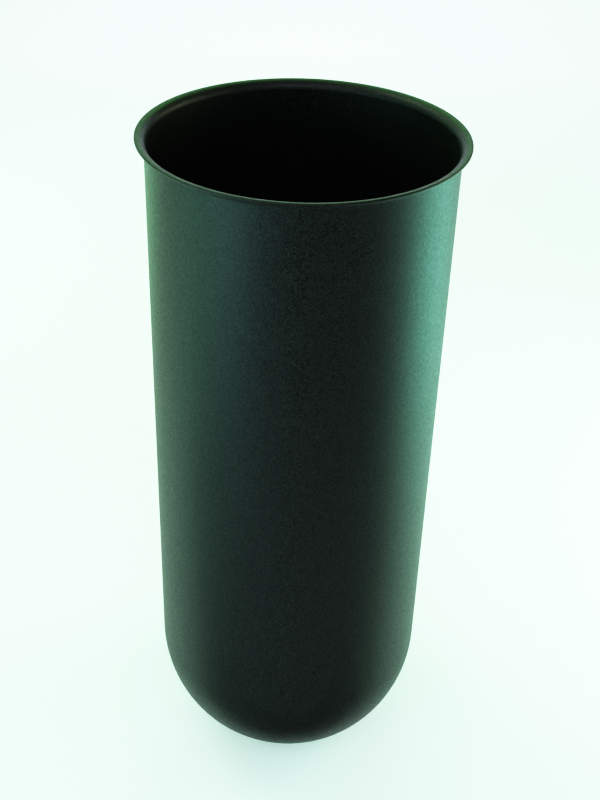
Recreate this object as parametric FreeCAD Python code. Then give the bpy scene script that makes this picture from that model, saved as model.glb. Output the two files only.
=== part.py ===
import FreeCAD, Part

# Ash bin: a tall round steel vessel with a flared lip and a hemispherical bottom. A cast
# iron ballast disc lies in the bottom, a rubber ring under it is the foot, and one screw
# holds the two steel and iron pieces together.
# Millimetres, +Z up. The origin is at the centre of the foot, on the ground.

import math
import os

from FreeCAD import Vector

# ---------------------------------------------------------------- driving dimensions

# Vessel
overall_height = 630.0         # ground to the top of the lip
body_diameter = 250.0          # outside of the straight wall, and of the dome
wall = 2.0                     # steel sheet
lip_bend_radius = 8.0          # upper side of the bend from the wall to the lip
lip_flat = 0.2                 # flat part of the lip, between the bend and the rounded edge
dome_skirt = 15.0              # straight part of the dome, up to its weld with the tube

# Flat pressed into the dome's pole
seat_diameter = 118.0          # where the flat meets the dome, before the corner is rounded
seat_corner_radius = 8.0       # outside of that corner

# Rubber foot ring
pad_diameter = 104.0
pad_thickness = 9.0
pad_opening_diameter = 44.0    # room for the screw's head and washers
pad_edge_radius = 1.5
groove_width = 3.0             # round grooves in the foot's underside
groove_depth = 1.5
groove_count = 3

# Ballast casting
ballast_height = 35.0
ballast_gap = 1.0              # between the casting and the dome's curved inside
ballast_edge = 3.0             # bevels at its top and bottom edges
nut_pocket_diameter = 34.0

# Screw, nut and washers, M8
screw_diameter = 8.0
head_diameter = 14.0
head_height = 4.4
socket_across_flats = 5.0
socket_depth = 2.6
washer_diameter = 16.0
washer_thickness = 1.6
seal_diameter = 20.0
seal_thickness = 1.5
wide_washer_diameter = 24.0
wide_washer_thickness = 2.0
nut_across_flats = 13.0
nut_height = 8.0
nut_collar_height = 2.2        # part of nut_height, above the hexagon
screw_stand_out = 2.0          # end of the screw above the nut
pocket_cover = 1.0             # end of the screw below the ballast's top

# Clearances
thread_gap = 0.05              # radial, nut on screw
washer_hole_gap = 0.2          # radial, washers on screw
screw_hole_gap = 0.5           # radial, dome and ballast on screw

# ---------------------------------------------------------------- derived sizes

body_radius = body_diameter / 2
inner_radius = body_radius - wall
seat_radius = seat_diameter / 2
screw_radius = screw_diameter / 2

dome_drop = math.sqrt(body_radius ** 2 - seat_radius ** 2)
seat_z = pad_thickness
seat_top_z = seat_z + wall
dome_centre_z = seat_z + dome_drop
weld_z = dome_centre_z + dome_skirt

edge_radius = wall / 2
lip_bend_x = inner_radius + lip_bend_radius
lip_bend_z = overall_height - lip_bend_radius
lip_edge_x = lip_bend_x + lip_flat

# Centre of the rounded corner between the dome and its flat: that far inside the dome, and
# that far above the flat.
corner_z = seat_z + seat_corner_radius
corner_x = math.sqrt((body_radius - seat_corner_radius) ** 2 - (dome_centre_z - corner_z) ** 2)

ballast_top_z = seat_top_z + ballast_height
ballast_sphere_radius = inner_radius - ballast_gap
nut_pocket_depth = wide_washer_thickness + nut_height + screw_stand_out + pocket_cover
pocket_floor_z = ballast_top_z - nut_pocket_depth

seal_bottom_z = seat_z - seal_thickness
washer_bottom_z = seal_bottom_z - washer_thickness
head_bottom_z = washer_bottom_z - head_height
nut_bottom_z = pocket_floor_z + wide_washer_thickness
nut_top_z = nut_bottom_z + nut_height
screw_top_z = nut_top_z + screw_stand_out


# ---------------------------------------------------------------- helpers

def at(x, z):
    """A point of a section, x from the vessel's axis and z up."""
    return Vector(x, 0, z)


def line(start, end):
    """A straight edge of a section."""
    return Part.LineSegment(start, end).toShape()


def arc(centre, radius, start_deg, end_deg):
    """A round edge of a section, by its centre, radius and two directions from +X."""
    points = []
    for angle in (start_deg, (start_deg + end_deg) / 2, end_deg):
        turn = math.radians(angle)
        points.append(centre + Vector(radius * math.cos(turn), 0, radius * math.sin(turn)))
    return Part.Arc(*points).toShape()


def turned(edges):
    """The solid of revolution of a closed section about the vessel's axis."""
    face = Part.Face(Part.Wire(edges))
    return face.revolve(Vector(0, 0, 0), Vector(0, 0, 1), 360)


def turned_polygon(*points):
    """The solid of revolution of a section with straight sides."""
    return turned([line(a, b) for a, b in zip(points, points[1:] + points[:1])])


def ring(outer_radius, hole_radius, bottom_z, thickness):
    """A flat ring on the vessel's axis."""
    disc = Part.makeCylinder(outer_radius, thickness, at(0, bottom_z))
    return disc.cut(Part.makeCylinder(hole_radius, thickness, at(0, bottom_z)))


def hexagon(across_flats, bottom_z, height):
    """An upright hexagonal prism on the vessel's axis."""
    corner = across_flats / math.sqrt(3)
    points = []
    for side in range(7):
        turn = math.radians(60 * side)
        points.append(Vector(corner * math.cos(turn), corner * math.sin(turn), bottom_z))
    return Part.Face(Part.makePolygon(points)).extrude(Vector(0, 0, height))


# ---------------------------------------------------------------- pieces

def body_tube():
    """Straight wall and flared lip, one sheet, with the lip's edge rounded."""
    bend = at(lip_bend_x, lip_bend_z)
    edge = at(lip_edge_x, overall_height - edge_radius)
    lip_underside_z = overall_height - wall
    return turned([
        line(at(inner_radius, weld_z), at(inner_radius, lip_bend_z)),
        arc(bend, lip_bend_radius, 180, 90),
        line(at(lip_bend_x, overall_height), at(lip_edge_x, overall_height)),
        arc(edge, edge_radius, 90, -90),
        line(at(lip_edge_x, lip_underside_z), at(lip_bend_x, lip_underside_z)),
        arc(bend, lip_bend_radius - wall, 90, 180),
        line(at(body_radius, lip_bend_z), at(body_radius, weld_z)),
        line(at(body_radius, weld_z), at(inner_radius, weld_z)),
    ])


def dome_base():
    """Hemisphere with a straight skirt, a flat at its pole and the screw's hole."""
    centre = at(0, dome_centre_z)
    corner = at(corner_x, corner_z)
    hole_radius = screw_radius + screw_hole_gap
    # Direction, from the dome's centre, in which the dome meets the rounded corner.
    meet_deg = math.degrees(math.atan2(corner_z - dome_centre_z, corner_x))
    inner_corner_radius = seat_corner_radius - wall
    return turned([
        line(at(hole_radius, seat_z), at(corner_x, seat_z)),
        arc(corner, seat_corner_radius, -90, meet_deg),
        arc(centre, body_radius, meet_deg, 0),
        line(at(body_radius, dome_centre_z), at(body_radius, weld_z)),
        line(at(body_radius, weld_z), at(inner_radius, weld_z)),
        line(at(inner_radius, weld_z), at(inner_radius, dome_centre_z)),
        arc(centre, inner_radius, 0, meet_deg),
        arc(corner, inner_corner_radius, meet_deg, -90),
        line(at(corner_x, seat_top_z), at(hole_radius, seat_top_z)),
        line(at(hole_radius, seat_top_z), at(hole_radius, seat_z)),
    ])


def ballast_weight():
    """Iron casting that follows the dome's inside, with a pocket for the nut."""
    sphere = Part.makeSphere(ballast_sphere_radius, at(0, dome_centre_z))
    slab = Part.makeCylinder(body_radius, ballast_height, at(0, seat_top_z))
    casting = sphere.common(slab)
    rims = []
    for edge in casting.Edges:
        box = edge.BoundBox
        if box.ZLength < 1e-6 and box.XLength > nut_pocket_diameter:
            rims.append(edge)
    casting = casting.makeChamfer(ballast_edge, rims)
    pocket = Part.makeCylinder(nut_pocket_diameter / 2, nut_pocket_depth, at(0, pocket_floor_z))
    hole = Part.makeCylinder(screw_radius + screw_hole_gap, ballast_height, at(0, seat_top_z))
    return casting.cut(pocket.fuse(hole))


def foot_pad():
    """Rubber ring with rounded lower edges and round grooves in its underside."""
    outer = pad_diameter / 2
    inner = pad_opening_diameter / 2
    round_off = pad_edge_radius
    pad = turned([
        line(at(inner, round_off), at(inner, pad_thickness)),
        line(at(inner, pad_thickness), at(outer, pad_thickness)),
        line(at(outer, pad_thickness), at(outer, round_off)),
        arc(at(outer - round_off, round_off), round_off, 0, -90),
        line(at(outer - round_off, 0), at(inner + round_off, 0)),
        arc(at(inner + round_off, round_off), round_off, -90, -180),
    ])
    # Grooves and the lands between them share the width evenly.
    land = (outer - inner - groove_count * groove_width) / (groove_count + 1)
    for number in range(groove_count):
        start = inner + land + number * (land + groove_width)
        pad = pad.cut(ring(start + groove_width, start, 0, groove_depth))
    return pad


def base_screw():
    """Button head screw, head down, with a hexagonal socket."""
    head_radius = head_diameter / 2
    rim = head_height / 6          # upright part of the head's edge, next to the washer
    cap = head_height - rim
    # Radius of the ball that makes the domed head: through its rim and its flat end.
    end_radius = head_radius / 2
    rise = (head_radius ** 2 - end_radius ** 2 - cap ** 2) / (2 * cap)
    ball_radius = math.sqrt(head_radius ** 2 + rise ** 2)
    ball = at(0, washer_bottom_z - rim + rise)
    start_deg = math.degrees(math.atan2(head_bottom_z - ball.z, end_radius))
    end_deg = math.degrees(math.atan2(washer_bottom_z - rim - ball.z, head_radius))
    head = turned([
        line(at(0, head_bottom_z), at(end_radius, head_bottom_z)),
        arc(ball, ball_radius, start_deg, end_deg),
        line(at(head_radius, washer_bottom_z - rim), at(head_radius, washer_bottom_z)),
        line(at(head_radius, washer_bottom_z), at(0, washer_bottom_z)),
        line(at(0, washer_bottom_z), at(0, head_bottom_z)),
    ])
    tip = screw_diameter / 10      # bevel at the screw's end
    shank = turned_polygon(
        at(0, washer_bottom_z),
        at(screw_radius, washer_bottom_z),
        at(screw_radius, screw_top_z - tip),
        at(screw_radius - tip, screw_top_z),
        at(0, screw_top_z),
    )
    socket = hexagon(socket_across_flats, head_bottom_z, socket_depth)
    return head.fuse(shank).removeSplitter().cut(socket)


def screw_washer():
    """Steel washer on the screw's head."""
    return ring(washer_diameter / 2, screw_radius + washer_hole_gap, washer_bottom_z, washer_thickness)


def screw_seal():
    """Rubber washer that keeps the dome's hole tight."""
    return ring(seal_diameter / 2, screw_radius + washer_hole_gap, seal_bottom_z, seal_thickness)


def nut_washer():
    """Wide steel washer on the floor of the ballast's pocket."""
    radius = wide_washer_diameter / 2
    return ring(radius, screw_radius + washer_hole_gap, pocket_floor_z, wide_washer_thickness)


def lock_nut():
    """Hexagonal nut with a round collar that holds its locking ring."""
    hexagon_height = nut_height - nut_collar_height
    body = hexagon(nut_across_flats, nut_bottom_z, hexagon_height)
    # Both ends of the hexagon are bevelled at 30 degrees, down to a circle between its flats.
    corner = nut_across_flats / math.sqrt(3)
    flat = nut_across_flats / 2
    bevel = (corner - flat) * math.tan(math.radians(30))
    hexagon_top_z = nut_bottom_z + hexagon_height
    body = body.common(turned_polygon(
        at(0, nut_bottom_z),
        at(flat, nut_bottom_z),
        at(corner, nut_bottom_z + bevel),
        at(corner, hexagon_top_z - bevel),
        at(flat, hexagon_top_z),
        at(0, hexagon_top_z),
    ))
    collar_radius = flat * 0.94
    round_off = nut_collar_height / 2
    collar = turned([
        line(at(0, hexagon_top_z), at(collar_radius, hexagon_top_z)),
        line(at(collar_radius, hexagon_top_z), at(collar_radius, nut_top_z - round_off)),
        arc(at(collar_radius - round_off, nut_top_z - round_off), round_off, 0, 90),
        line(at(collar_radius - round_off, nut_top_z), at(0, nut_top_z)),
        line(at(0, nut_top_z), at(0, hexagon_top_z)),
    ])
    bore = Part.makeCylinder(screw_radius + thread_gap, nut_height, at(0, nut_bottom_z))
    return body.fuse(collar).removeSplitter().cut(bore)


# ---------------------------------------------------------------- export

NODES = (
    body_tube,
    dome_base,
    ballast_weight,
    foot_pad,
    base_screw,
    screw_washer,
    screw_seal,
    nut_washer,
    lock_nut,
)

os.makedirs("parts", exist_ok=True)
for make in NODES:
    shape = make()
    solids = shape.Solids
    if len(solids) != 1 or not solids[0].isValid() or solids[0].Volume <= 0:
        raise ValueError(f"{make.__name__} is not one sound solid")
    solids[0].exportStep(f"parts/{make.__name__}.step")
    print(f"{make.__name__:16} {solids[0].Volume / 1000:9.1f} cm3")
print(f"dome centre {dome_centre_z:.2f}, lip radius {lip_edge_x + edge_radius:.2f}, "
      f"straight height {overall_height - dome_centre_z:.2f}")
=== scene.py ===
import logging
import math
from dataclasses import dataclass, field
from enum import Enum

import bmesh
import bpy
from mathutils import Matrix, Vector


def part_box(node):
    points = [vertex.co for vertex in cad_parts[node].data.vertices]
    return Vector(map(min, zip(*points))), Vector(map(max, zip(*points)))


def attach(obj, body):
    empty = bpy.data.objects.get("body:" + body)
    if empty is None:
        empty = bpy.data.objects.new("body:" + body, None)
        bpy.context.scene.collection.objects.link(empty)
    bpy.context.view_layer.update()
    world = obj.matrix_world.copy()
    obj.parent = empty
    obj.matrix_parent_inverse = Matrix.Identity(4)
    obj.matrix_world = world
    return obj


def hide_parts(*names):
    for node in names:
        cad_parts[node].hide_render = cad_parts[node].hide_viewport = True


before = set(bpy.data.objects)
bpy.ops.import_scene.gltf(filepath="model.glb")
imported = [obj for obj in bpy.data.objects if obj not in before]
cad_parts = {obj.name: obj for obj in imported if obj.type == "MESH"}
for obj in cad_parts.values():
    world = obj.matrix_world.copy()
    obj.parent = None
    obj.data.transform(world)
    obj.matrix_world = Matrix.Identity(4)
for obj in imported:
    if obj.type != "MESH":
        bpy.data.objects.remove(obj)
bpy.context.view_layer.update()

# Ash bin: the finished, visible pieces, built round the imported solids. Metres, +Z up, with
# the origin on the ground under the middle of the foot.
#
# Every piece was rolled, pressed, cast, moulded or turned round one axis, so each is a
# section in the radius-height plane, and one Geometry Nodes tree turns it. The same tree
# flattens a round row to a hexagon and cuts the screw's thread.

BODY = "root"
MM = 0.001
FULL_TURN = 2 * math.pi

log = logging.getLogger("ash_bin")


# ------------------------------------------------------------------ colour and nodes

def srgb(hex_colour: str) -> tuple[float, float, float, float]:
    """Turns an sRGB hex colour into the linear colour that a shader takes.

    Args:
        hex_colour: Six hex digits after a #.

    Returns:
        Linear red, green and blue, and an alpha of 1.
    """
    channels = [int(hex_colour[i:i + 2], 16) / 255 for i in (1, 3, 5)]
    linear = [c / 12.92 if c <= 0.04045 else ((c + 0.055) / 1.055) ** 2.4 for c in channels]
    return (*linear, 1.0)


def add_node(tree: bpy.types.NodeTree, kind: str, inputs: dict | None = None,
             **settings: object) -> bpy.types.Node:
    """Adds a node with its settings and links.

    Args:
        tree: The node tree that gets the node.
        kind: The node's type, such as "ShaderNodeBump".
        inputs: Input name or number to its value, or to an output that is linked to it.
        settings: Attributes of the node itself.

    Returns:
        The new node.
    """
    node = tree.nodes.new(kind)
    for name, value in settings.items():
        setattr(node, name, value)
    for name, value in (inputs or {}).items():
        if isinstance(value, bpy.types.NodeSocket):
            tree.links.new(value, node.inputs[name])
        else:
            node.inputs[name].default_value = value
    return node


# ------------------------------------------------------------------ finishes

# Sockets of a Mix node that is set to colour.
MIX_FACTOR, MIX_FIRST, MIX_SECOND, MIX_RESULT = 0, 6, 7, 2

# Noise mostly lies between these two, so spreading them over 0 to 1 uses the whole range.
NOISE_LOW, NOISE_HIGH = 0.35, 0.65


@dataclass(frozen=True)
class Finish:
    """What every finish has: its name, its two tones and the shader's constants."""

    name: str
    colour: str
    second_colour: str
    roughness: float
    roughness_swing: float
    ior: float = 1.5
    metallic: float = 0.0

    def start(self) -> tuple[bpy.types.Material, bpy.types.Node, bpy.types.NodeSocket]:
        """Makes the material and sets the shader's constants.

        Returns:
            The material, its shader and the Object coordinates' socket.
        """
        material = bpy.data.materials.new(self.name)
        material.use_nodes = True
        material.diffuse_color = srgb(self.colour)
        shader = material.node_tree.nodes["Principled BSDF"]
        shader.inputs["IOR"].default_value = self.ior
        shader.inputs["Metallic"].default_value = self.metallic
        place = add_node(material.node_tree, "ShaderNodeTexCoord").outputs["Object"]
        return material, shader, place

    def dress(self, shader: bpy.types.Node, tone: bpy.types.NodeSocket, gloss: bpy.types.NodeSocket,
              normal: bpy.types.NodeSocket) -> None:
        """Gives the shader its colour, roughness and bump.

        Args:
            shader: The material's shader.
            tone: Noise that picks between the two tones.
            gloss: Noise that swings the roughness.
            normal: The last bump's normal.
        """
        tree = shader.id_data
        share = add_node(tree, "ShaderNodeMapRange", {
            "Value": tone, "From Min": NOISE_LOW, "From Max": NOISE_HIGH,
        })
        colour = add_node(tree, "ShaderNodeMix", {
            MIX_FACTOR: share.outputs["Result"],
            MIX_FIRST: srgb(self.colour), MIX_SECOND: srgb(self.second_colour),
        }, data_type="RGBA")
        roughness = add_node(tree, "ShaderNodeMapRange", {
            "Value": gloss, "From Min": NOISE_LOW, "From Max": NOISE_HIGH,
            "To Min": self.roughness - self.roughness_swing,
            "To Max": self.roughness + self.roughness_swing,
        })
        tree.links.new(colour.outputs[MIX_RESULT], shader.inputs["Base Color"])
        tree.links.new(roughness.outputs["Result"], shader.inputs["Roughness"])
        tree.links.new(normal, shader.inputs["Normal"])


@dataclass(frozen=True)
class PowderCoat(Finish):
    """Polyester powder coat, sprayed on sheet steel and baked: satin black, fine texture.

    The powder melts into a skin with two kinds of unevenness: a fine grain, which speckles
    its tone, and a wider orange peel, which makes its highlights shimmer. A few clumps of
    powder and specks of dust stay in it as small pale nibs.
    """

    # The real grain is about 0.3 mm, too fine to show, so it is drawn wider.
    grain: float = 1.1 * MM
    grain_height: float = 0.05 * MM
    peel: float = 2.2 * MM
    peel_height: float = 0.01 * MM
    nib_spacing: float = 22.0 * MM
    nib_radius: float = 0.45 * MM
    nib_height: float = 0.1 * MM
    nib_colour: str = "#4a4f4d"

    def make(self) -> bpy.types.Material:
        """Builds the material.

        Returns:
            The material.
        """
        material, shader, place = self.start()
        tree = material.node_tree
        grain = add_node(tree, "ShaderNodeTexNoise", {
            "Vector": place, "Scale": 1 / self.grain, "Detail": 1.0,
        }).outputs["Fac"]
        peel = add_node(tree, "ShaderNodeTexNoise", {
            "Vector": place, "Scale": 1 / self.peel, "Detail": 1.0,
        }).outputs["Fac"]
        nearest = add_node(tree, "ShaderNodeTexVoronoi", {
            "Vector": place, "Scale": 1 / self.nib_spacing,
        }).outputs["Distance"]
        nib = add_node(tree, "ShaderNodeMapRange", {
            "Value": nearest, "From Min": 0.0, "From Max": self.nib_radius / self.nib_spacing,
            "To Min": 1.0, "To Max": 0.0,
        }, interpolation_type="SMOOTHSTEP").outputs["Result"]
        waves = add_node(tree, "ShaderNodeBump", {"Height": peel, "Distance": self.peel_height})
        skin = add_node(tree, "ShaderNodeBump", {
            "Height": grain, "Distance": self.grain_height, "Normal": waves.outputs["Normal"],
        })
        nibs = add_node(tree, "ShaderNodeBump", {
            "Height": nib, "Distance": self.nib_height, "Normal": skin.outputs["Normal"],
        })
        self.dress(shader, grain, peel, nibs.outputs["Normal"])
        smooth_skin = shader.inputs["Base Color"].links[0].from_socket
        speckled = add_node(tree, "ShaderNodeMix", {
            MIX_FACTOR: nib, MIX_FIRST: smooth_skin, MIX_SECOND: srgb(self.nib_colour),
        }, data_type="RGBA")
        tree.links.new(speckled.outputs[MIX_RESULT], shader.inputs["Base Color"])
        return material


@dataclass(frozen=True)
class CastIron(Finish):
    """Grey iron, cast in sand and dipped in black primer: matt, pitted like coarse paper."""

    sand: float = 1.2 * MM
    sand_height: float = 0.15 * MM
    flow: float = 18.0 * MM

    def make(self) -> bpy.types.Material:
        """Builds the material.

        Returns:
            The material.
        """
        material, shader, place = self.start()
        tree = material.node_tree
        sand = add_node(tree, "ShaderNodeTexNoise", {
            "Vector": place, "Scale": 1 / self.sand, "Detail": 3.0, "Roughness": 0.6,
        }).outputs["Fac"]
        flow = add_node(tree, "ShaderNodeTexNoise", {
            "Vector": place, "Scale": 1 / self.flow, "Detail": 2.0,
        }).outputs["Fac"]
        skin = add_node(tree, "ShaderNodeBump", {"Height": sand, "Distance": self.sand_height})
        self.dress(shader, flow, sand, skin.outputs["Normal"])
        return material


@dataclass(frozen=True)
class Rubber(Finish):
    """EPDM rubber, moulded: dull, nearly black, with a faint grey bloom in patches."""

    bloom: float = 14.0 * MM
    mould_grain: float = 0.6 * MM
    mould_grain_height: float = 0.03 * MM

    def make(self) -> bpy.types.Material:
        """Builds the material.

        Returns:
            The material.
        """
        material, shader, place = self.start()
        tree = material.node_tree
        bloom = add_node(tree, "ShaderNodeTexNoise", {
            "Vector": place, "Scale": 1 / self.bloom, "Detail": 4.0,
        }).outputs["Fac"]
        grain = add_node(tree, "ShaderNodeTexNoise", {
            "Vector": place, "Scale": 1 / self.mould_grain, "Detail": 1.0,
        }).outputs["Fac"]
        skin = add_node(tree, "ShaderNodeBump", {"Height": grain, "Distance": self.mould_grain_height})
        self.dress(shader, bloom, grain, skin.outputs["Normal"])
        return material


@dataclass(frozen=True)
class TurnedSteel(Finish):
    """Plain stainless steel, turned or pressed: grey metal with fine rings round the axis."""

    ring: float = 0.25 * MM
    ring_height: float = 0.004 * MM
    smear: float = 3.0 * MM

    def make(self) -> bpy.types.Material:
        """Builds the material.

        Returns:
            The material.
        """
        material, shader, place = self.start()
        tree = material.node_tree
        level = add_node(tree, "ShaderNodeVectorMath", {
            0: place, 1: (1.0, 1.0, 0.0),
        }, operation="MULTIPLY").outputs["Vector"]
        radius = add_node(tree, "ShaderNodeVectorMath", {0: level}, operation="LENGTH").outputs["Value"]
        rings = add_node(tree, "ShaderNodeTexNoise", {
            "W": radius, "Scale": 1 / self.ring, "Detail": 2.0,
        }, noise_dimensions="1D").outputs["Fac"]
        smear = add_node(tree, "ShaderNodeTexNoise", {
            "Vector": place, "Scale": 1 / self.smear, "Detail": 3.0,
        }).outputs["Fac"]
        marks = add_node(tree, "ShaderNodeBump", {"Height": rings, "Distance": self.ring_height})
        self.dress(shader, smear, rings, marks.outputs["Normal"])
        return material


@dataclass(frozen=True)
class Nylon(Finish):
    """Nylon 6, pressed into the nut: milky, faintly mottled, half dull."""

    mottle: float = 1.5 * MM
    mottle_height: float = 0.01 * MM

    def make(self) -> bpy.types.Material:
        """Builds the material.

        Returns:
            The material.
        """
        material, shader, place = self.start()
        tree = material.node_tree
        mottle = add_node(tree, "ShaderNodeTexNoise", {
            "Vector": place, "Scale": 1 / self.mottle, "Detail": 2.0,
        }).outputs["Fac"]
        skin = add_node(tree, "ShaderNodeBump", {"Height": mottle, "Distance": self.mottle_height})
        self.dress(shader, mottle, mottle, skin.outputs["Normal"])
        return material


@dataclass(frozen=True)
class Paper(Finish):
    """Matt white tracing paper over a light table: it glows a little, so shadows stay pale."""

    fibre: float = 6.0 * MM
    fibre_height: float = 0.02 * MM
    glow_colour: str = "#ffffff"
    glow: float = 0.0

    def make(self) -> bpy.types.Material:
        """Builds the material.

        Returns:
            The material.
        """
        material, shader, place = self.start()
        tree = material.node_tree
        fibre = add_node(tree, "ShaderNodeTexNoise", {
            "Vector": place, "Scale": 1 / self.fibre, "Detail": 2.0,
        }).outputs["Fac"]
        skin = add_node(tree, "ShaderNodeBump", {"Height": fibre, "Distance": self.fibre_height})
        self.dress(shader, fibre, fibre, skin.outputs["Normal"])
        shader.inputs["Emission Color"].default_value = srgb(self.glow_colour)
        shader.inputs["Emission Strength"].default_value = self.glow
        return material


# ------------------------------------------------------------------ sections and the lathe

class Crease(Enum):
    """The turn between two faces, in degrees, past which the edge between them is crisp."""

    MOULDED = 50.0
    MACHINED = 28.0


@dataclass(frozen=True)
class Corner:
    """A corner of a section.

    radius and height give its place, and rounding how far it is rounded. flats is the half
    width of the hexagon that cuts its row, or 0, and thread is 1 where the row is threaded.
    """

    radius: float
    height: float
    rounding: float = 0.0
    flats: float = 0.0
    thread: float = 0.0

    def towards(self, other: "Corner") -> Vector:
        """The direction to another corner."""
        return Vector((other.radius - self.radius, other.height - self.height)).normalized()


@dataclass
class Section:
    """A closed outline in the radius-height plane, anticlockwise or clockwise."""

    arc_step_deg: float = 6.0
    points: list[Corner] = field(default_factory=list)

    def to(self, *corners: Corner) -> "Section":
        """Goes straight to each corner in turn, without rounding any."""
        self.points.extend(corners)
        return self

    def run(self, end: Corner, step: float) -> "Section":
        """Goes straight to a corner in equal steps.

        Args:
            end: The corner at the end of the run.
            step: Length of a step, at most.

        Returns:
            The section, so that calls can follow each other.
        """
        start = self.points[-1]
        length = math.hypot(end.radius - start.radius, end.height - start.height)
        count = max(1, math.ceil(length / step))
        for number in range(1, count + 1):
            share = number / count
            self.points.append(Corner(
                start.radius + (end.radius - start.radius) * share,
                start.height + (end.height - start.height) * share,
                thread=end.thread,
            ))
        return self

    def arc(self, radius: float, height: float, size: float, start_deg: float, end_deg: float) -> "Section":
        """Goes round an arc, from one direction off its centre to another.

        Args:
            radius: Distance of the arc's centre from the axis.
            height: Height of the arc's centre.
            size: The arc's own radius.
            start_deg: Direction of its first point, 0 outwards and 90 up.
            end_deg: Direction of its last point.

        Returns:
            The section, so that calls can follow each other.
        """
        steps = max(2, math.ceil(abs(end_deg - start_deg) / self.arc_step_deg))
        for step in range(steps + 1):
            turn = math.radians(start_deg + (end_deg - start_deg) * step / steps)
            self.points.append(Corner(radius + size * math.cos(turn), height + size * math.sin(turn)))
        return self

    def outline(self, *corners: Corner) -> "Section":
        """Goes round a closed run of straight sides, rounding each corner as it says.

        Args:
            corners: All the corners in turn.

        Returns:
            The section, so that calls can follow each other.
        """
        for number, corner in enumerate(corners):
            if not corner.rounding:
                self.points.append(corner)
                continue
            back = corner.towards(corners[number - 1])
            ahead = corner.towards(corners[(number + 1) % len(corners)])
            half = back.angle(ahead) / 2
            middle = (back + ahead).normalized() * (corner.rounding / math.sin(half))
            reach = corner.rounding / math.tan(half)
            first = back * reach - middle
            last = ahead * reach - middle
            start_deg = math.degrees(math.atan2(first.y, first.x))
            end_deg = math.degrees(math.atan2(last.y, last.x))
            turn_deg = (end_deg - start_deg + 180) % 360 - 180
            self.arc(corner.radius + middle.x, corner.height + middle.y, corner.rounding,
                     start_deg, start_deg + turn_deg)
        return self


@dataclass(frozen=True)
class Skin:
    """How a turned piece differs from its exact outline."""

    unevenness: float = 0.0            # how far its surface sinks at most
    unevenness_size: float = 10 * MM   # width of those hollows
    thread_pitch: float = 1.25 * MM
    thread_depth: float = 0.0


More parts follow.
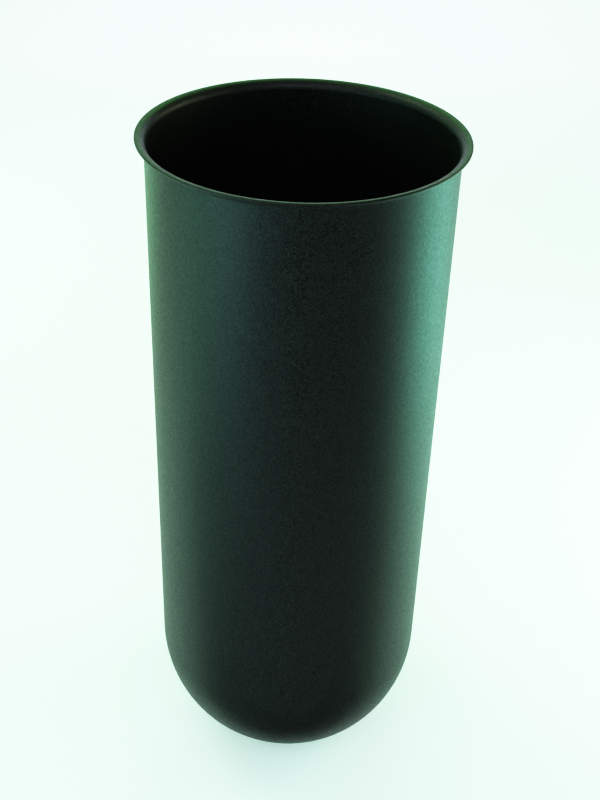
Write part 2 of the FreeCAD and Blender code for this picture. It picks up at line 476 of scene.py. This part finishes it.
class Lathe:
    """Turns sections into pieces with one Geometry Nodes tree."""

    weld = 0.001 * MM
    # What a section's points carry besides their place.
    marks = ("flats", "thread")
    # Share of the pitch that a metric thread's crest and root are flat for.
    crest = 1 / 8
    root = 1 / 4

    def __init__(self) -> None:
        """Builds the tree, which every piece shares."""
        self.tree = bpy.data.node_groups.new("turn_section", "GeometryNodeTree")
        self.sockets = self._sockets()
        self._build()

    def _sockets(self) -> dict[str, str]:
        """Returns:
            Each input's name with its identifier.
        """
        made = {}
        for name, kind in (
            ("Section", "NodeSocketGeometry"),
            ("Steps", "NodeSocketInt"),
            ("Unevenness", "NodeSocketFloat"),
            ("Unevenness Size", "NodeSocketFloat"),
            ("Thread Pitch", "NodeSocketFloat"),
            ("Thread Depth", "NodeSocketFloat"),
            ("Finish", "NodeSocketMaterial"),
        ):
            socket = self.tree.interface.new_socket(name, in_out="INPUT", socket_type=kind)
            made[name] = socket.identifier
        self.tree.interface.new_socket("Turned", in_out="OUTPUT", socket_type="NodeSocketGeometry")
        return made

    def _sum(self, operation: str, first: object, second: object = 0.0) -> bpy.types.NodeSocket:
        """One step of arithmetic in the tree."""
        node = add_node(self.tree, "ShaderNodeMath", {0: first, 1: second}, operation=operation)
        return node.outputs["Value"]

    def _build(self) -> None:
        """Builds the nodes: a grid whose rows follow the section and whose columns go round."""
        tree = self.tree
        given = add_node(tree, "NodeGroupInput").outputs
        count = add_node(tree, "GeometryNodeAttributeDomainSize", {"Geometry": given["Section"]})
        count = count.outputs["Point Count"]
        columns = self._sum("ADD", given["Steps"], 1.0)
        grid = add_node(tree, "GeometryNodeMeshGrid", {
            "Vertices X": self._sum("ADD", count, 1.0), "Vertices Y": columns,
        })
        index = add_node(tree, "GeometryNodeInputIndex").outputs["Index"]
        row = self._sum("FLOOR", self._sum("DIVIDE", self._sum("ADD", index, 0.5), columns))
        column = self._sum("SUBTRACT", index, self._sum("MULTIPLY", row, columns))
        point = self._sum("FLOORED_MODULO", row, count)
        turn = self._sum("MULTIPLY", self._sum("DIVIDE", column, given["Steps"]), FULL_TURN)

        radius, height = self._place(given["Section"], point)
        radius = self._flattened(given["Section"], point, radius, turn)
        radius = self._threaded(given, point, radius, height, turn)
        start = add_node(tree, "ShaderNodeCombineXYZ", {"X": radius, "Z": height})
        turned = add_node(tree, "ShaderNodeVectorRotate", {
            "Vector": start.outputs["Vector"], "Angle": turn,
        }, rotation_type="Z_AXIS")
        placed = add_node(tree, "GeometryNodeSetPosition", {
            "Geometry": grid.outputs["Mesh"], "Position": turned.outputs["Vector"],
        })
        closed = add_node(tree, "GeometryNodeMergeByDistance", {
            "Geometry": placed.outputs["Geometry"], "Distance": self.weld,
        })
        sunk = self._sunk(closed.outputs["Geometry"], given)
        whole = add_node(tree, "GeometryNodeRealizeInstances", {"Geometry": sunk})
        finished = add_node(tree, "GeometryNodeSetMaterial", {
            "Geometry": whole.outputs["Geometry"], "Material": given["Finish"],
        })
        add_node(tree, "NodeGroupOutput", {"Turned": finished.outputs["Geometry"]})

    def _place(self, section: bpy.types.NodeSocket,
               point: bpy.types.NodeSocket) -> tuple[bpy.types.NodeSocket, bpy.types.NodeSocket]:
        """Looks up the section's point in each row.

        Args:
            section: The section's geometry.
            point: Number of the point.

        Returns:
            The point's radius and height.
        """
        position = add_node(self.tree, "GeometryNodeInputPosition").outputs["Position"]
        outline = add_node(self.tree, "GeometryNodeSampleIndex", {
            "Geometry": section, "Value": position, "Index": point,
        }, data_type="FLOAT_VECTOR", domain="POINT")
        parts = add_node(self.tree, "ShaderNodeSeparateXYZ", {"Vector": outline.outputs["Value"]})
        return parts.outputs["X"], parts.outputs["Z"]

    def _mark(self, section: bpy.types.NodeSocket, point: bpy.types.NodeSocket,
              name: str) -> bpy.types.NodeSocket:
        """Looks up a number that the section's point in each row carries.

        Args:
            section: The section's geometry.
            point: Number of the point.
            name: Name of the attribute that holds the number.

        Returns:
            The number.
        """
        carried = add_node(self.tree, "GeometryNodeInputNamedAttribute", {"Name": name}, data_type="FLOAT")
        return add_node(self.tree, "GeometryNodeSampleIndex", {
            "Geometry": section, "Value": carried.outputs["Attribute"], "Index": point,
        }, data_type="FLOAT", domain="POINT").outputs["Value"]

    def _flattened(self, section: bpy.types.NodeSocket, point: bpy.types.NodeSocket,
                   radius: bpy.types.NodeSocket, turn: bpy.types.NodeSocket) -> bpy.types.NodeSocket:
        """Cuts a hexagon: no further out than the flat in that direction.

        Args:
            section: The section's geometry.
            point: Number of the point.
            radius: The round radius.
            turn: Angle round the axis.

        Returns:
            The radius after the cut.
        """
        flats = self._mark(section, point, "flats")
        sixth = FULL_TURN / 6
        off_flat = self._sum("SUBTRACT", self._sum("FLOORED_MODULO", turn, sixth), sixth / 2)
        flat_reach = self._sum("DIVIDE", flats, self._sum("COSINE", off_flat))
        cut = self._sum("MINIMUM", radius, flat_reach)
        is_cut = self._sum("GREATER_THAN", flats, 0.0)
        change = self._sum("MULTIPLY", self._sum("SUBTRACT", cut, radius), is_cut)
        return self._sum("ADD", radius, change)

    def _threaded(self, given: bpy.types.NodeOutputs, point: bpy.types.NodeSocket,
                  radius: bpy.types.NodeSocket, height: bpy.types.NodeSocket,
                  turn: bpy.types.NodeSocket) -> bpy.types.NodeSocket:
        """Cuts a thread: a groove that climbs one pitch in a turn.

        Args:
            given: The tree's inputs.
            point: Number of the section's point.
            radius: The plain radius.
            height: Height of the point.
            turn: Angle round the axis.

        Returns:
            The radius after the cut.
        """
        threaded = self._mark(given["Section"], point, "thread")
        climb = self._sum("DIVIDE", height, given["Thread Pitch"])
        phase = self._sum("FRACT", self._sum("SUBTRACT", climb, self._sum("DIVIDE", turn, FULL_TURN)))
        # 0 in the middle of the crest and 1 in the middle of the root.
        slope = self._sum("ABSOLUTE", self._sum("SUBTRACT", self._sum("MULTIPLY", phase, 2.0), 1.0))
        depth = add_node(self.tree, "ShaderNodeMapRange", {
            "Value": slope, "From Min": self.crest, "From Max": 1 - self.root,
        }).outputs["Result"]
        depth = self._sum("MULTIPLY", self._sum("MULTIPLY", depth, threaded), given["Thread Depth"])
        return self._sum("SUBTRACT", radius, depth)

    def _sunk(self, mesh: bpy.types.NodeSocket, given: bpy.types.NodeOutputs) -> bpy.types.NodeSocket:
        """Gives a mesh a cast skin, which sinks below its outline and never rises above it.

        Args:
            mesh: The exact mesh.
            given: The tree's inputs.

        Returns:
            The uneven mesh.
        """
        hollows = add_node(self.tree, "ShaderNodeTexNoise", {
            "Scale": self._sum("DIVIDE", 1.0, given["Unevenness Size"]), "Detail": 2.0,
        }).outputs["Fac"]
        sink = self._sum("MULTIPLY", self._sum("MULTIPLY", hollows, given["Unevenness"]), -1.0)
        normal = add_node(self.tree, "GeometryNodeInputNormal").outputs["Normal"]
        offset = add_node(self.tree, "ShaderNodeVectorMath", {0: normal, "Scale": sink}, operation="SCALE")
        return add_node(self.tree, "GeometryNodeSetPosition", {
            "Geometry": mesh, "Offset": offset.outputs["Vector"],
        }).outputs["Geometry"]

    def turn(self, name: str, section: Section, finish: bpy.types.Material, steps: int,
             crease: Crease = Crease.MACHINED, skin: Skin = Skin()) -> bpy.types.Object:
        """Turns a section into a closed piece.

        Args:
            name: The piece's name.
            section: Its outline.
            finish: Its material.
            steps: Number of faces round it.
            crease: Where its edges are crisp.
            skin: How it differs from its exact outline.

        Returns:
            The piece, as a plain mesh with no modifier left.
        """
        outline = bpy.data.meshes.new(name + "_section")
        points = section.points
        sides = [(i, (i + 1) % len(points)) for i in range(len(points))]
        outline.from_pydata([(p.radius, 0.0, p.height) for p in points], sides, [])
        for mark in self.marks:
            values = [getattr(point, mark) for point in points]
            outline.attributes.new(mark, "FLOAT", "POINT").data.foreach_set("value", values)
        piece = bpy.data.objects.new(name, outline)
        bpy.context.scene.collection.objects.link(piece)
        modifier = piece.modifiers.new("turn", "NODES")
        modifier.node_group = self.tree
        for key, value in (
            ("Steps", steps),
            ("Unevenness", skin.unevenness),
            ("Unevenness Size", skin.unevenness_size),
            ("Thread Pitch", skin.thread_pitch),
            ("Thread Depth", skin.thread_depth),
            ("Finish", finish),
        ):
            modifier[self.sockets[key]] = value
        view = bpy.context.evaluated_depsgraph_get()
        mesh = bpy.data.meshes.new_from_object(piece.evaluated_get(view), depsgraph=view)
        piece.modifiers.clear()
        piece.data = mesh
        bpy.data.meshes.remove(outline)
        self._clean(mesh, finish, crease)
        mesh.name = name
        return piece

    def _clean(self, mesh: bpy.types.Mesh, finish: bpy.types.Material, crease: Crease) -> None:
        """Turns a mesh's faces outwards, marks its crisp edges and leaves it one material.

        Args:
            mesh: The turned mesh.
            finish: Its material.
            crease: Where its edges are crisp.
        """
        shape = bmesh.new()
        shape.from_mesh(mesh)
        bmesh.ops.remove_doubles(shape, verts=shape.verts, dist=self.weld)
        # A side of the section that lies on the axis leaves an edge with no face.
        bare = [edge for edge in shape.edges if not edge.link_faces]
        bmesh.ops.delete(shape, geom=bare, context="EDGES")
        bmesh.ops.recalc_face_normals(shape, faces=shape.faces)
        for face in shape.faces:
            face.material_index = 0
        shape.to_mesh(mesh)
        shape.free()
        mesh.materials.clear()
        mesh.materials.append(finish)
        for mark in self.marks:
            if mark in mesh.attributes:
                mesh.attributes.remove(mesh.attributes[mark])
        mesh.shade_smooth()
        mesh.set_sharp_from_angle(angle=math.radians(crease.value))


def show(piece: bpy.types.Object, slot: str, *nodes: str) -> None:
    """Makes a piece ride on the body and stand for CAD nodes.

    Args:
        piece: The finished piece.
        slot: The record's material slot; not used.
        nodes: The CAD nodes that it stands for.
    """
    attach(piece, BODY)
    if nodes:
        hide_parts(*nodes)
    faces = len(piece.data.polygons)
    log.info("%s: %d faces, stands for %s", piece.name, faces, ", ".join(nodes) or "nothing")


def radius_of(node: str) -> float:
    """The outer radius of a round CAD node."""
    low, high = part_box(node)
    return (high.x - low.x) / 2


# ------------------------------------------------------------------ the vessel

@dataclass
class Vessel:
    """The steel vessel: a rolled tube with a flared lip, and a pressed dome below it."""

    lathe: Lathe
    coat: bpy.types.Material
    wall: float = 2.0 * MM
    lip_bend_radius: float = 8.0 * MM
    dome_skirt: float = 15.0 * MM
    seat_corner_radius: float = 8.0 * MM
    hole_radius: float = 4.5 * MM
    steps: int = 288
    wall_step: float = 25.0 * MM

    def __post_init__(self) -> None:
        """Takes the vessel's main sizes from the frame."""
        tube_low, tube_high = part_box("body_tube")
        self.weld_z = tube_low.z
        self.lip_z = tube_high.z
        self.lip_radius = radius_of("body_tube")
        self.outside = radius_of("dome_base")
        self.inside = self.outside - self.wall
        self.seat_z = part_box("dome_base")[0].z
        self.centre_z = self.weld_z - self.dome_skirt

    def tube(self) -> None:
        """Builds the straight wall, whose top is bent outwards into the lip."""
        edge = self.wall / 2
        bend_radius = self.inside + self.lip_bend_radius
        bend_z = self.lip_z - self.lip_bend_radius
        section = Section(arc_step_deg=4.0)
        section.to(Corner(self.outside, self.weld_z))
        section.run(Corner(self.outside, bend_z), self.wall_step)
        section.arc(bend_radius, bend_z, self.lip_bend_radius - self.wall, 180, 90)
        section.arc(self.lip_radius - edge, self.lip_z - edge, edge, -90, 90)
        section.arc(bend_radius, bend_z, self.lip_bend_radius, 90, 180)
        section.run(Corner(self.inside, self.weld_z), self.wall_step)
        piece = self.lathe.turn("vessel_tube", section, self.coat, self.steps)
        show(piece, "black_powder_coat", "body_tube")

    def dome(self) -> None:
        """Builds the hemisphere with its straight skirt and the flat at its pole."""
        corner_z = self.seat_z + self.seat_corner_radius
        drop = self.centre_z - corner_z
        corner_radius = math.sqrt((self.outside - self.seat_corner_radius) ** 2 - drop ** 2)
        meet_deg = -math.degrees(math.atan2(drop, corner_radius))
        section = Section(arc_step_deg=2.5)
        section.to(Corner(self.hole_radius, self.seat_z))
        section.arc(corner_radius, corner_z, self.seat_corner_radius, -90, meet_deg)
        section.arc(0.0, self.centre_z, self.outside, meet_deg, 0)
        section.to(Corner(self.outside, self.weld_z), Corner(self.inside, self.weld_z))
        section.arc(0.0, self.centre_z, self.inside, 0, meet_deg)
        section.arc(corner_radius, corner_z, self.seat_corner_radius - self.wall, meet_deg, -90)
        section.to(Corner(self.hole_radius, self.seat_z + self.wall))
        piece = self.lathe.turn("vessel_dome", section, self.coat, self.steps)
        show(piece, "black_powder_coat", "dome_base")

    def build(self) -> None:
        """Builds both pieces of the vessel."""
        self.tube()
        self.dome()


# ------------------------------------------------------------------ ballast and foot

@dataclass
class Ballast:
    """The iron disc that lies in the dome, with a pocket for the nut."""

    lathe: Lathe
    iron: bpy.types.Material
    gap: float = 1.0 * MM
    edge_rounding: float = 3.5 * MM
    rim_rounding: float = 1.5 * MM
    pocket_radius: float = 17.0 * MM
    pocket_depth: float = 13.0 * MM
    hole_radius: float = 4.5 * MM
    steps: int = 160
    side_steps: int = 10
    skin: Skin = Skin(unevenness=0.35 * MM, unevenness_size=9.0 * MM)

    def build(self) -> None:
        """Builds the casting, whose side follows the dome's inside."""
        low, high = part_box("ballast_weight")
        dome_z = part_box("body_tube")[0].z - Vessel.dome_skirt
        reach = radius_of("dome_base") - Vessel.wall - self.gap
        side = []
        for step in range(self.side_steps + 1):
            height = low.z + (high.z - low.z) * step / self.side_steps
            rounding = self.edge_rounding if step in (0, self.side_steps) else 0.0
            side.append(Corner(math.sqrt(reach ** 2 - (dome_z - height) ** 2), height, rounding))
        floor_z = high.z - self.pocket_depth
        # The rows next to the rounded edges are left out, to make room for the rounding.
        section = Section(arc_step_deg=15.0)
        section.outline(
            Corner(self.hole_radius, low.z, self.rim_rounding / 2),
            side[0], *side[2:-2], side[-1],
            Corner(self.pocket_radius, high.z, self.rim_rounding),
            Corner(self.pocket_radius, floor_z, self.rim_rounding),
            Corner(self.hole_radius, floor_z),
        )
        piece = self.lathe.turn("ballast_casting", section, self.iron, self.steps, Crease.MOULDED, self.skin)
        show(piece, "painted_iron", "ballast_weight")


@dataclass
class Foot:
    """The moulded rubber ring that the vessel stands on."""

    lathe: Lathe
    rubber: bpy.types.Material
    opening_radius: float = 22.0 * MM
    edge_rounding: float = 1.5 * MM
    groove_width: float = 3.0 * MM
    groove_depth: float = 1.5 * MM
    groove_count: int = 3
    groove_rounding: float = 0.5 * MM
    rim_rounding: float = 0.4 * MM
    steps: int = 144

    def build(self) -> None:
        """Builds the ring with the round grooves in its underside."""
        low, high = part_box("foot_pad")
        outer = radius_of("foot_pad")
        inner = self.opening_radius
        land = (outer - inner - self.groove_count * self.groove_width) / (self.groove_count + 1)
        corners = [Corner(inner, low.z, self.edge_rounding)]
        for number in range(self.groove_count):
            start = inner + land + number * (land + self.groove_width)
            end = start + self.groove_width
            roof = low.z + self.groove_depth
            for radius, height in ((start, low.z), (start, roof), (end, roof), (end, low.z)):
                corners.append(Corner(radius, height, self.groove_rounding))
        corners += [
            Corner(outer, low.z, self.edge_rounding),
            Corner(outer, high.z, self.rim_rounding),
            Corner(inner, high.z, self.rim_rounding),
        ]
        section = Section(arc_step_deg=22.5).outline(*corners)
        piece = self.lathe.turn("foot_ring", section, self.rubber, self.steps, Crease.MOULDED)
        show(piece, "black_rubber", "foot_pad")


# ------------------------------------------------------------------ the fixing

@dataclass
class Fixing:
    """One M8 screw through dome and ballast, with its washers, its seal and its nut."""

    lathe: Lathe
    steel: bpy.types.Material
    rubber: bpy.types.Material
    nylon: bpy.types.Material
    shank_radius: float = 4.0 * MM
    pitch: float = 1.25 * MM
    thread_depth_share: float = 0.613   # of the pitch, as on any metric screw
    rows_per_pitch: int = 10
    steps: int = 72
    flat_steps: int = 96                # round washers, seal and nut
    head_height: float = 4.4 * MM
    socket_half_width: float = 2.5 * MM
    socket_depth: float = 2.6 * MM
    washer_hole: float = 4.2 * MM
    nut_bore: float = 4.05 * MM
    collar_height: float = 2.2 * MM
    collar_share: float = 0.94          # of the hexagon's half width
    insert_radius: float = 5.1 * MM
    insert_height: float = 1.5 * MM
    insert_rounding: float = 0.1 * MM
    insert_mouth_rounding: float = 0.3 * MM

    def screw(self) -> None:
        """Builds the button head screw: domed head with a hexagonal socket, threaded shank."""
        low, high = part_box("base_screw")
        head = radius_of("base_screw")
        end = head / 2
        under_z = low.z + self.head_height
        rim_z = under_z - self.head_height / 6
        cap = rim_z - low.z
        # Ball that makes the domed head, through its rim and its flat end.
        rise = (head ** 2 - end ** 2 - cap ** 2) / (2 * cap)
        ball = math.hypot(head, rise)
        ball_z = rim_z + rise
        start_deg = math.degrees(math.atan2(low.z - ball_z, end))
        end_deg = math.degrees(math.atan2(rim_z - ball_z, head))
        flat = self.socket_half_width
        corner = flat / math.cos(FULL_TURN / 12)
        floor_z = low.z + self.socket_depth
        tip = self.shank_radius / 5
        neck = 0.15 * MM
        # The socket narrows a little towards its floor, and a drill left its floor hollow.
        socket_floor = corner * 0.98
        socket_mouth = corner * 1.01
        socket_point_z = floor_z + corner / 3
        section = Section(arc_step_deg=5.0)
        section.to(
            Corner(0.0, socket_point_z),
            Corner(socket_floor, floor_z, flats=flat),
            Corner(socket_mouth, low.z + neck, flats=flat),
            Corner(corner + neck, low.z, flats=flat + neck),
        )
        section.arc(0.0, ball_z, ball, start_deg, end_deg)
        section.to(
            Corner(head, under_z - neck),
            Corner(head - neck, under_z),
            Corner(self.shank_radius, under_z),
            Corner(self.shank_radius, under_z + self.pitch),
        )
        thread_end = Corner(self.shank_radius, high.z - tip, thread=1.0)
        section.run(thread_end, self.pitch / self.rows_per_pitch)
        section.to(Corner(self.shank_radius - tip, high.z), Corner(0.0, high.z))
        skin = Skin(thread_pitch=self.pitch, thread_depth=self.thread_depth_share * self.pitch)
        piece = self.lathe.turn("button_screw", section, self.steel, self.steps, Crease.MACHINED, skin)
        show(piece, "stainless_steel", "base_screw")

    def ring(self, node: str, name: str, material: bpy.types.Material, slot: str, rounding: float) -> None:
        """Builds a flat ring, a washer or the seal.

        Args:
            node: The CAD node that it stands for.
            name: The piece's name.
            material: Its material.
            slot: The record's material slot.
            rounding: How far its edges are rounded.
        """
        low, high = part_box(node)
        outer = radius_of(node)
        section = Section(arc_step_deg=22.5).outline(
            Corner(self.washer_hole, low.z, rounding / 2),
            Corner(outer, low.z, rounding),
            Corner(outer, high.z, rounding / 2),
            Corner(self.washer_hole, high.z, rounding),
        )
        show(self.lathe.turn(name, section, material, self.flat_steps, Crease.MOULDED), slot, node)

    def nut(self) -> None:
        """Builds the lock nut: a bevelled hexagon, and a collar crimped over a nylon ring."""
        low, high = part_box("lock_nut")
        flat = (high.y - low.y) / 2
        corner = flat / math.cos(FULL_TURN / 12)
        bevel = (corner - flat) * math.tan(math.radians(30))
        shoulder_z = high.z - self.collar_height
        collar = flat * self.collar_share
        crimp = 0.35 * MM
        seat_z = high.z - crimp - self.insert_height
        bevel_rows = 4
        section = Section(arc_step_deg=15.0)
        section.to(Corner(self.nut_bore + crimp, low.z))
        for row in range(bevel_rows + 1):
            share = row / bevel_rows
            section.to(Corner(flat + (corner - flat) * share, low.z + bevel * share, flats=flat))
        for row in range(bevel_rows + 1):
            share = 1 - row / bevel_rows
            section.to(Corner(flat + (corner - flat) * share, shoulder_z - bevel * share, flats=flat))
        section.to(Corner(collar, shoulder_z))
        rounding = self.collar_height / 2
        section.arc(collar - rounding, high.z - rounding, rounding, 0, 90)
        section.to(
            Corner(self.insert_radius - crimp, high.z),
            Corner(self.insert_radius - crimp, high.z - crimp),
            Corner(self.insert_radius, high.z - crimp),
            Corner(self.insert_radius, seat_z),
            Corner(self.nut_bore, seat_z),
            Corner(self.nut_bore, low.z + crimp),
        )
        nut = self.lathe.turn("locking_nut", section, self.steel, self.flat_steps)
        show(nut, "stainless_steel", "lock_nut")
        insert = Section(arc_step_deg=15.0).outline(
            Corner(self.nut_bore, seat_z, self.insert_rounding),
            Corner(self.insert_radius, seat_z, self.insert_rounding),
            Corner(self.insert_radius, high.z - crimp, self.insert_rounding),
            Corner(self.nut_bore, high.z - crimp, self.insert_mouth_rounding),
        )
        piece = self.lathe.turn("nut_insert", insert, self.nylon, self.steps, Crease.MOULDED)
        show(piece, "stainless_steel")

    def build(self) -> None:
        """Builds the screw and everything on it."""
        self.screw()
        self.ring("screw_washer", "head_washer", self.steel, "stainless_steel", rounding=0.3 * MM)
        self.ring("screw_seal", "seal_washer", self.rubber, "black_rubber", rounding=0.5 * MM)
        self.ring("nut_washer", "wide_washer", self.steel, "stainless_steel", rounding=0.35 * MM)
        self.nut()


# ------------------------------------------------------------------ stage, light, camera

@dataclass
class Sweep:
    """White paper: a floor that curves up into a wall all round.

    The coat mirrors only the low paper behind the bin. The paper in front and the upper
    wall are there for views from other sides, and stay out of reflections, as if a dark
    room began there.
    """

    paper: bpy.types.Material
    floor_radius: float = 2.2
    bend_radius: float = 0.8
    bend_steps: int = 12
    mirrored_top: float = 1.0
    wall_top: float = 2.8
    front_y: float = -0.11      # where mirrored paper meets the paper in front
    columns: int = 48

    def build(self) -> None:
        """Builds the paper behind, the paper in front and the wall above both."""
        reach = self.floor_radius + self.bend_radius
        profile = [(self.floor_radius, 0.0)]
        for step in range(1, self.bend_steps + 1):
            turn = math.radians(90 * step / self.bend_steps)
            profile.append((
                self.floor_radius + self.bend_radius * math.sin(turn),
                self.bend_radius * (1 - math.cos(turn)),
            ))
        profile.append((reach, self.mirrored_top))
        edge_deg = math.degrees(math.asin(self.front_y / self.floor_radius))
        self.sheet("paper_behind", profile, edge_deg, 180 - edge_deg)
        front = self.sheet("paper_in_front", profile, 180 - edge_deg, 360 + edge_deg)
        upper = [(reach, self.mirrored_top), (reach, self.wall_top)]
        above = self.sheet("paper_above", upper, 0, 360, has_floor=False)
        for unmirrored in (front, above):
            unmirrored.visible_glossy = False

    def sheet(self, name: str, profile: list[tuple[float, float]], start_deg: float,
              end_deg: float, has_floor: bool = True) -> bpy.types.Object:
        """Builds the paper between two directions.

        Args:
            name: The sheet's name.
            profile: Distance and height of each row, outwards and up.
            start_deg: Direction of its first edge.
            end_deg: Direction of its last edge.
            has_floor: Whether flat paper closes it inside the first row.

        Returns:
            The sheet.
        """
        shape = bmesh.new()
        columns = []
        for column in range(self.columns + 1):
            turn = math.radians(start_deg + (end_deg - start_deg) * column / self.columns)
            columns.append([
                shape.verts.new((reach * math.cos(turn), reach * math.sin(turn), height))
                for reach, height in profile
            ])
        if has_floor:
            shape.faces.new([column[0] for column in columns])
        for left, right in zip(columns, columns[1:]):
            for row in range(len(profile) - 1):
                shape.faces.new((left[row], left[row + 1], right[row + 1], right[row]))
        bmesh.ops.recalc_face_normals(shape, faces=shape.faces)
        mesh = bpy.data.meshes.new(name)
        shape.to_mesh(mesh)
        shape.free()
        mesh.shade_smooth()
        mesh.materials.append(self.paper)
        sheet = bpy.data.objects.new(name, mesh)
        bpy.context.scene.collection.objects.link(sheet)
        return sheet


@dataclass(frozen=True)
class Softbox:
    """A flat, even light."""

    name: str
    place: tuple[float, float, float]
    aim: tuple[float, float, float]
    width: float
    height: float
    colour: str
    radiance: float

    def build(self) -> None:
        """Builds the light, which the camera itself doesn't see."""
        data = bpy.data.lights.new(self.name, "AREA")
        data.shape = "RECTANGLE"
        data.size = self.width
        data.size_y = self.height
        data.color = srgb(self.colour)[:3]
        # A flat light's watts are its radiance times pi times its area.
        data.energy = self.radiance * math.pi * self.width * self.height
        light = bpy.data.objects.new(self.name, data)
        direction = Vector(self.aim) - Vector(self.place)
        light.matrix_world = (
            Matrix.Translation(self.place) @ direction.to_track_quat("-Z", "Y").to_matrix().to_4x4()
        )
        light.visible_camera = False
        bpy.context.scene.collection.objects.link(light)


# Name, place, aim, width, height, colour and radiance. Places and sizes are listed in
# metres. Colours and radiances came out of a fit made by a program, and were then rounded.
LIGHTS = (
    Softbox("left_fore", (-0.85, -0.8, 0.45), (0, -0.4, 0.45), 0.5, 0.9, "#c2fffd", 7.1),
    Softbox("left_front", (-0.85, -0.25, 0.45), (0, -0.25, 0.45), 0.5, 0.9, "#99ffd6", 3.0),
    Softbox("left_middle", (-0.85, 0.3, 0.45), (0, 0.3, 0.45), 0.6, 0.9, "#99ff99", 0.25),
    Softbox("left_back", (-0.85, 1.0, 0.45), (0, 1.0, 0.45), 0.8, 0.9, "#99ffb2", 3.4),
    Softbox("right_front", (0.85, -0.25, 0.45), (0, -0.25, 0.45), 0.5, 0.9, "#e3fdff", 1.1),
    Softbox("right_middle", (0.85, 0.3, 0.25), (0, 0.3, 0.25), 0.6, 0.5, "#95ffe3", 10.2),
    Softbox("right_upper", (0.85, 0.3, 0.75), (0, 0.3, 0.65), 0.6, 0.5, "#f5ffd8", 6.0),
    Softbox("behind", (0, 2.7, 0.75), (0, 0, 0.6), 2.8, 1.1, "#e2e9ff", 4.2),
    Softbox("bounce", (0, -0.6, 0.02), (0, -0.6, 1), 1.0, 0.8, "#ddf5ff", 0.5),
    Softbox("above_left", (-1.0, 0.5, 1.8), (0, 0.1, 0.6), 1.0, 1.0, "#daffd8", 6.9),
    Softbox("above_back", (0, 1.5, 1.8), (0, 0.1, 0.6), 1.0, 0.8, "#99ff99", 7.1),
    Softbox("above_front", (0, -1.5, 1.9), (0, 0, 0.3), 2.0, 1.0, "#eeecff", 3.5),
)


def room(colour: str, strength: float) -> None:
    """Sets the dim, even light of the room.

    Args:
        colour: Its colour.
        strength: Its radiance.
    """
    world = bpy.data.worlds.new("room")
    world.use_nodes = True
    background = world.node_tree.nodes["Background"]
    background.inputs["Color"].default_value = srgb(colour)
    background.inputs["Strength"].default_value = strength
    bpy.context.scene.world = world


def develop(contrast: float, reach: float, points: int) -> None:
    """Gives the picture a film's response: deep blacks, and whites that fill up slowly.

    Args:
        contrast: Power of the light that the film answers to.
        reach: Brightest level that still tells from white.
        points: Points on the curve.
    """
    settings = bpy.context.scene.view_settings
    settings.view_transform = "Standard"
    settings.use_curve_mapping = True
    mapping = settings.curve_mapping
    mapping.white_level = (reach, reach, reach)
    curve = mapping.curves[3]
    for number in range(1, points):
        # Squared, so that the points crowd where the blacks are.
        level = reach * (number / points) ** 2
        curve.points.new(level / reach, 1 - math.exp(-level ** contrast))
    mapping.update()


@dataclass(frozen=True)
class Viewpoint:
    """A camera in front of the bin and above its mouth, looking down at it."""

    lens_mm: float = 54.73
    place: tuple[float, float, float] = (0.0, -0.9072, 0.9797)
    turn_deg: float = -0.26
    look_down_deg: float = 33.43
    roll_deg: float = 1.98

    def build(self) -> None:
        """Stands the camera there and makes it the scene's own."""
        data = bpy.data.cameras.new("camera")
        data.lens = self.lens_mm
        stand = bpy.data.objects.new("camera", data)
        stand.matrix_world = (
            Matrix.Translation(self.place)
            @ Matrix.Rotation(math.radians(self.turn_deg), 4, "Z")
            @ Matrix.Rotation(math.radians(90 - self.look_down_deg), 4, "X")
            @ Matrix.Rotation(math.radians(self.roll_deg), 4, "Z")
        )
        bpy.context.scene.collection.objects.link(stand)
        bpy.context.scene.camera = stand


def main() -> None:
    """Builds the ash bin, its stage, lights and camera."""
    lathe = Lathe()
    coat = PowderCoat("satin_black_powder_coat", "#0b0e0d", "#252928", 0.5, 0.055).make()
    iron = CastIron("primed_cast_iron", "#161718", "#1e1f20", 0.72, 0.08).make()
    rubber = Rubber("moulded_epdm", "#131314", "#1d1e1e", 0.78, 0.06).make()
    steel = TurnedSteel("turned_stainless_steel", "#a8a6a1", "#96948f", 0.3, 0.08, metallic=1.0).make()
    nylon = Nylon("nylon_insert", "#e6e6de", "#d8d8cf", 0.45, 0.05, ior=1.53).make()
    paper = Paper("white_paper", "#f2f5f4", "#eef1f0", 0.9, 0.02, glow_colour="#e6fff3", glow=0.39).make()
    Vessel(lathe, coat).build()
    Ballast(lathe, iron).build()
    Foot(lathe, rubber).build()
    Fixing(lathe, steel, rubber, nylon).build()
    Sweep(paper).build()
    for light in LIGHTS:
        light.build()
    room("#fff0e0", strength=0.22)
    develop(contrast=1.5, reach=3.0, points=16)
    Viewpoint().build()


if __name__ == "__main__":
    logging.basicConfig(level=logging.INFO, format="%(message)s")
    main()
